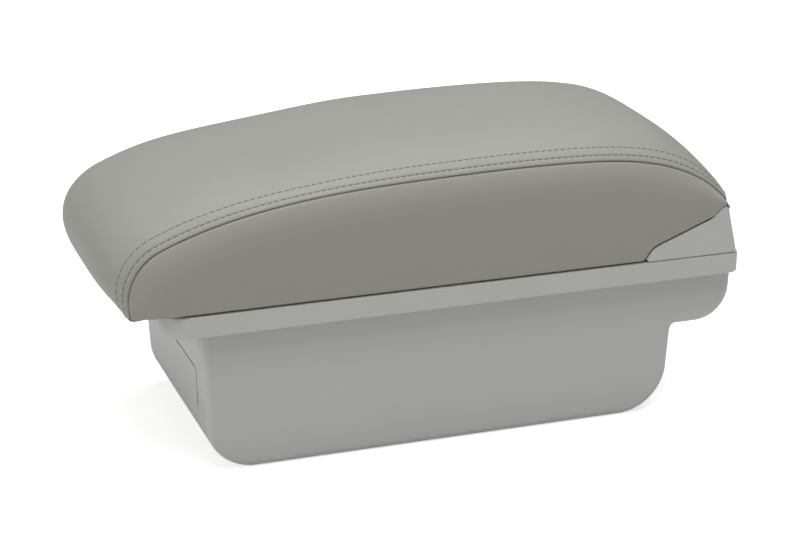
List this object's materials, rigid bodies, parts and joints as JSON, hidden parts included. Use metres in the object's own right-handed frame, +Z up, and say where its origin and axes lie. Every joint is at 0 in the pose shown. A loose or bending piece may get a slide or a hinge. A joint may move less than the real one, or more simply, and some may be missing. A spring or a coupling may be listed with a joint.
{
  "type": "car centre armrest",
  "caption": "Padded car centre armrest: a hinged leather-covered lid over a deep storage bin with a rim and a stepped rear end.",
  "frame": {"origin": "middle of the bin's flat bottom", "axes": "+X from the nose of the lid to the hinge, +Z up, +Y to the left side seen from behind the nose"},
  "size_m": [0.3526, 0.1524, 0.1685],
  "materials": {
    "bin_plastic": "fine moulded grain",
    "frame_plastic": "moulded",
    "lining_plastic": "fine moulded grain",
    "nylon": "moulded",
    "steel": "zinc plated",
    "bumper_rubber": "matte",
    "foam": "moulded foam",
    "top_leather": "smooth soft grain",
    "side_leather": "smooth soft grain"
  },
  "bodies": {
    "base": {"storage_bin": "bin_plastic", "bin_rim": "bin_plastic", "hinge_housing": "bin_plastic", "hinge_pin": "steel", "pin_caps": "bin_plastic", "thrust_washers": "nylon", "deck_screws": "steel", "lid_bumpers": "bumper_rubber"},
    "lid": {"lid_frame": "frame_plastic", "lid_foam": "foam", "top_cover": "top_leather", "left_side_cover": "side_leather", "right_side_cover": "side_leather", "lid_lining": "lining_plastic", "lining_screws": "steel"}
  },
  "joints": [
    {"name": "lid_hinge", "type": "hinge", "parent": "base", "child": "lid", "pos_m": [0.1602, 0, 0.1165], "axis": [0, 1, 0], "range_deg": [0, 85]}
  ]
}
